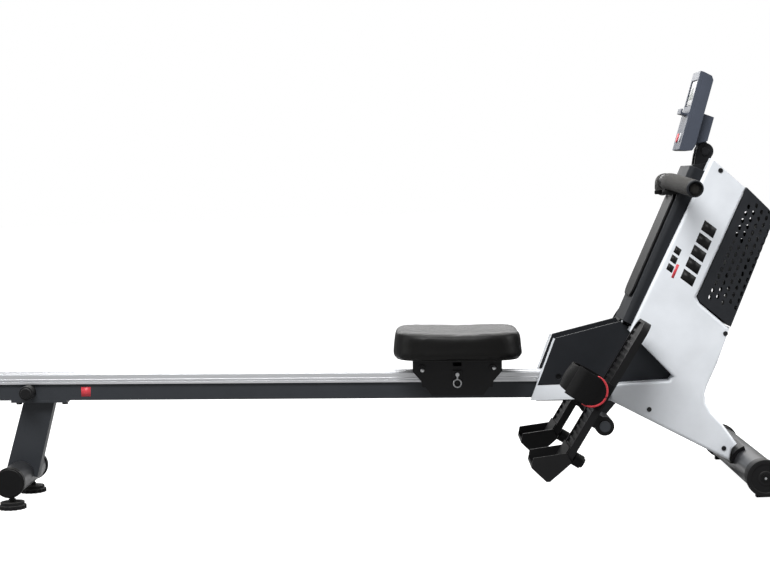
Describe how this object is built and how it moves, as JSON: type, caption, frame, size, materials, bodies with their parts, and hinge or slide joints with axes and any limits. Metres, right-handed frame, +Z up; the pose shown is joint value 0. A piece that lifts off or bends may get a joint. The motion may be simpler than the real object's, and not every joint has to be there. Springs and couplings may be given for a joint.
{
  "type": "rowing machine",
  "caption": "Folding rowing machine with a sliding seat on a rail, a magnetic flywheel brake, a pull handle on a strap, pivoting foot plates and a tilting console.",
  "frame": {"origin": "middle of the footprint, on the floor", "axes": "+X towards the flywheel and front foot, +Y to the rower's left, +Z up"},
  "size_m": [1.6562, 0.524, 0.857],
  "materials": {
    "frame_paint": "satin black-grey powder coat",
    "leg_paint": "anthracite powder coat",
    "foot_tube": "metallic grey gloss",
    "black_plastic": "fine grain black",
    "silver_plastic": "silver lacquered",
    "dark_plastic": "anthracite moulded",
    "cover_plastic": "satin black moulded",
    "screw_black": "black oxide",
    "zinc": "zinc plated",
    "flywheel_steel": "turned steel",
    "drive_plastic": "nylon",
    "belt_rubber": "ribbed belt",
    "roller_nylon": "nylon",
    "wheel_rubber": "hard black",
    "console_plastic": "slate grey moulded",
    "screen": "dark window",
    "key_grey": "soft key",
    "key_red": "soft key",
    "handle_steel": "black enamel",
    "grip_foam": "closed-cell foam",
    "webbing": "woven nylon",
    "track_aluminium": "anodised extrusion",
    "vinyl": "grained vinyl",
    "carriage_paint": "satin black"
  },
  "bodies": {
    "base": {"base_beam": "frame_paint", "mast_tube": "frame_paint", "rail_bracket": "frame_paint", "front_foot_tube": "foot_tube", "front_foot_caps": "black_plastic", "casing_right": "silver_plastic", "casing_left": "silver_plastic", "inset_right": "dark_plastic", "inset_left": "dark_plastic", "grille_right": "dark_plastic", "grille_left": "dark_plastic", "nose_cover": "dark_plastic", "strap_cover": "cover_plastic", "casing_screws": "screw_black", "saddle_trim": "black_plastic", "flywheel_axle": "zinc", "drive_belt": "belt_rubber", "recoil_spring": "flywheel_steel", "pedal_axle": "leg_paint", "fold_pin": "zinc", "console_clevis": "frame_paint", "pull_strap": "webbing"},
    "flywheel": {"flywheel": "flywheel_steel"},
    "drum": {"strap_drum": "drive_plastic"},
    "magnet_arm": {"magnet_arm": "zinc"},
    "guide_roller": {"guide_roller": "roller_nylon"},
    "fold_lock": {"fold_lock": "black_plastic"},
    "wheel_right": {"transport_wheel_right": "wheel_rubber"},
    "wheel_left": {"transport_wheel_left": "wheel_rubber"},
    "console": {"console_back": "console_plastic", "console_front": "console_plastic", "console_screen": "screen"},
    "mode_key": {"mode_button": "key_grey"},
    "start_key": {"start_button": "key_red"},
    "handle": {"handle_bar": "handle_steel", "handle_grips": "grip_foam", "strap_clip": "black_plastic"},
    "rail": {"rail_track": "track_aluminium", "rail_body": "leg_paint", "rail_end_cap": "black_plastic", "rear_leg": "leg_paint", "rear_leg_bolts": "screw_black", "rear_foot_tube": "foot_tube", "rear_foot_caps": "black_plastic", "stop_buffers": "wheel_rubber"},
    "leveller_right": {"leveller_right": "wheel_rubber"},
    "leveller_left": {"leveller_left": "wheel_rubber"},
    "seat": {"seat_pad": "vinyl", "carriage": "carriage_paint"},
    "rollers_front": {"rollers_front": "roller_nylon"},
    "rollers_rear": {"rollers_rear": "roller_nylon"},
    "seat_lock": {"lock_pin": "zinc"},
    "pedal_right": {"footplate_right": "cover_plastic", "foot_strap_right": "webbing"},
    "pedal_left": {"footplate_left": "cover_plastic", "foot_strap_left": "webbing"},
    "heel_right": {"heel_cup_right": "cover_plastic"},
    "heel_left": {"heel_cup_left": "cover_plastic"},
    "heel_pin_right": {"heel_knob_right": "black_plastic"},
    "heel_pin_left": {"heel_knob_left": "black_plastic"}
  },
  "joints": [
    {"name": "rail_fold", "type": "hinge", "parent": "base", "child": "rail", "pos_m": [0.43113, 0, 0.212], "axis": [0, 1, 0], "range_deg": [0, 72]},
    {"name": "seat_slide", "type": "slide", "parent": "rail", "child": "seat", "axis": [0.9996, 0, -0.0274], "range_m": [-0.8, 0.01]},
    {"name": "front_roller_spin", "type": "hinge", "parent": "seat", "child": "rollers_front", "pos_m": [0.24426, 0, 0.25594], "axis": [0, 1, 0], "continuous": true},
    {"name": "rear_roller_spin", "type": "hinge", "parent": "seat", "child": "rollers_rear", "pos_m": [0.09632, 0, 0.25999], "axis": [0, 1, 0], "continuous": true},
    {"name": "seat_lock_pull", "type": "slide", "parent": "seat", "child": "seat_lock", "axis": [0, -1, 0], "range_m": [0, 0.006], "stiffness_N_per_m": 300},
    {"name": "leveller_right_turn", "type": "hinge", "parent": "rail", "child": "leveller_right", "pos_m": [-0.76487, -0.1, 0.02], "axis": [0, 0, 1], "continuous": true},
    {"name": "leveller_left_turn", "type": "hinge", "parent": "rail", "child": "leveller_left", "pos_m": [-0.76487, 0.1, 0.02], "axis": [0, 0, 1], "continuous": true},
    {"name": "fold_lock_pull", "type": "slide", "parent": "base", "child": "fold_lock", "axis": [0, 1, 0], "range_m": [0, 0.01], "stiffness_N_per_m": 400},
    {"name": "pedal_right_tilt", "type": "hinge", "parent": "base", "child": "pedal_right", "pos_m": [0.45813, -0.1705, 0.147], "axis": [0, 1, 0], "range_deg": [-15, 20]},
    {"name": "heel_right_slide", "type": "slide", "parent": "pedal_right", "child": "heel_right", "axis": [0.5358, 0, 0.8443], "range_m": [-0.03, 0.015]},
    {"name": "heel_pin_right_pull", "type": "slide", "parent": "pedal_right", "child": "heel_pin_right", "axis": [0.8443, 0, -0.5358], "range_m": [0, 0.008], "stiffness_N_per_m": 300},
    {"name": "pedal_left_tilt", "type": "hinge", "parent": "base", "child": "pedal_left", "pos_m": [0.45813, 0.1705, 0.147], "axis": [0, 1, 0], "range_deg": [-15, 20]},
    {"name": "heel_left_slide", "type": "slide", "parent": "pedal_left", "child": "heel_left", "axis": [0.5358, 0, 0.8443], "range_m": [-0.03, 0.015]},
    {"name": "heel_pin_left_pull", "type": "slide", "parent": "pedal_left", "child": "heel_pin_left", "axis": [0.8443, 0, -0.5358], "range_m": [0, 0.008], "stiffness_N_per_m": 300},
    {"name": "console_tilt", "type": "hinge", "parent": "base", "child": "console", "pos_m": [0.70313, 0, 0.691], "axis": [0, 1, 0], "range_deg": [-15, 25]},
    {"name": "mode_key_press", "type": "slide", "parent": "console", "child": "mode_key", "axis": [0.9568, 0, -0.2907], "range_m": [0, 0.0015], "stiffness_N_per_m": 600},
    {"name": "start_key_press", "type": "slide", "parent": "console", "child": "start_key", "axis": [0.9568, 0, -0.2907], "range_m": [0, 0.0015], "stiffness_N_per_m": 600},
    {"name": "handle_pull", "type": "slide", "parent": "base", "child": "handle", "axis": [-1, 0, 0], "range_m": [0, 0.85], "stiffness_N_per_m": 12, "springref_m": -0.4, "deforming": ["pull_strap"]},
    {"name": "drum_spin", "type": "hinge", "parent": "base", "child": "drum", "pos_m": [0.64613, 0, 0.288], "axis": [0, 1, 0], "continuous": true},
    {"name": "guide_roller_spin", "type": "hinge", "parent": "base", "child": "guide_roller", "pos_m": [0.66303, 0, 0.61844], "axis": [0, 1, 0], "continuous": true},
    {"name": "flywheel_spin", "type": "hinge", "parent": "base", "child": "flywheel", "pos_m": [0.72813, 0, 0.462], "axis": [0, 1, 0], "continuous": true},
    {"name": "magnet_arm_swing", "type": "hinge", "parent": "base", "child": "magnet_arm", "pos_m": [0.66013, 0, 0.412], "axis": [0, 1, 0], "range_deg": [-3, 5]},
    {"name": "wheel_right_spin", "type": "hinge", "parent": "base", "child": "wheel_right", "pos_m": [0.76713, -0.255, 0.04], "axis": [0, 1, 0], "continuous": true},
    {"name": "wheel_left_spin", "type": "hinge", "parent": "base", "child": "wheel_left", "pos_m": [0.76713, 0.255, 0.04], "axis": [0, 1, 0], "continuous": true}
  ],
  "couplings": [
    {"joint": "front_roller_spin", "follows": "seat_slide", "rad_per_m": 71.429},
    {"joint": "rear_roller_spin", "follows": "seat_slide", "rad_per_m": 71.429},
    {"joint": "drum_spin", "follows": "handle_pull", "rad_per_m": -33.333},
    {"joint": "guide_roller_spin", "follows": "handle_pull", "rad_per_m": 83.333}
  ]
}
